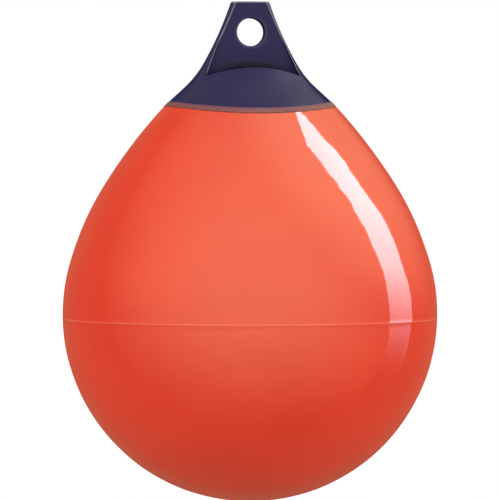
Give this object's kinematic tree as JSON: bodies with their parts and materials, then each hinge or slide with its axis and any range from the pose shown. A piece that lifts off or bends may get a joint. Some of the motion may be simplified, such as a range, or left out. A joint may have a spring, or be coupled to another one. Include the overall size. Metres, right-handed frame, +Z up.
{
  "type": "inflatable buoy",
  "caption": "Teardrop air-filled vinyl buoy with a moulded rope head: an eye in its plate to hang or moor it by, a hollow skirt, and a screw-plug inflation valve.",
  "frame": {"origin": "centre of the rope eye's bore, midway through the plate that holds it", "axes": "+Z up along the buoy's own axis towards the head's flat top, +Y along the eye's bore to the side that carries the valve, +X across the plate"},
  "size_m": [0.3687, 0.3688, 0.4909],
  "materials": {
    "envelope_vinyl": "glossy inflated vinyl",
    "head_vinyl": "satin gloss hard vinyl",
    "lap_vinyl": "thin translucent vinyl over the head",
    "bush_brass": "turned",
    "washer_rubber": "matt",
    "screw_plastic": "moulded"
  },
  "bodies": {
    "root": {"body": "envelope_vinyl", "head": "head_vinyl", "seam_band": "lap_vinyl", "valve_bush": "bush_brass", "valve_washer": "washer_rubber", "valve_screw": "screw_plastic"}
  },
  "joints": []
}
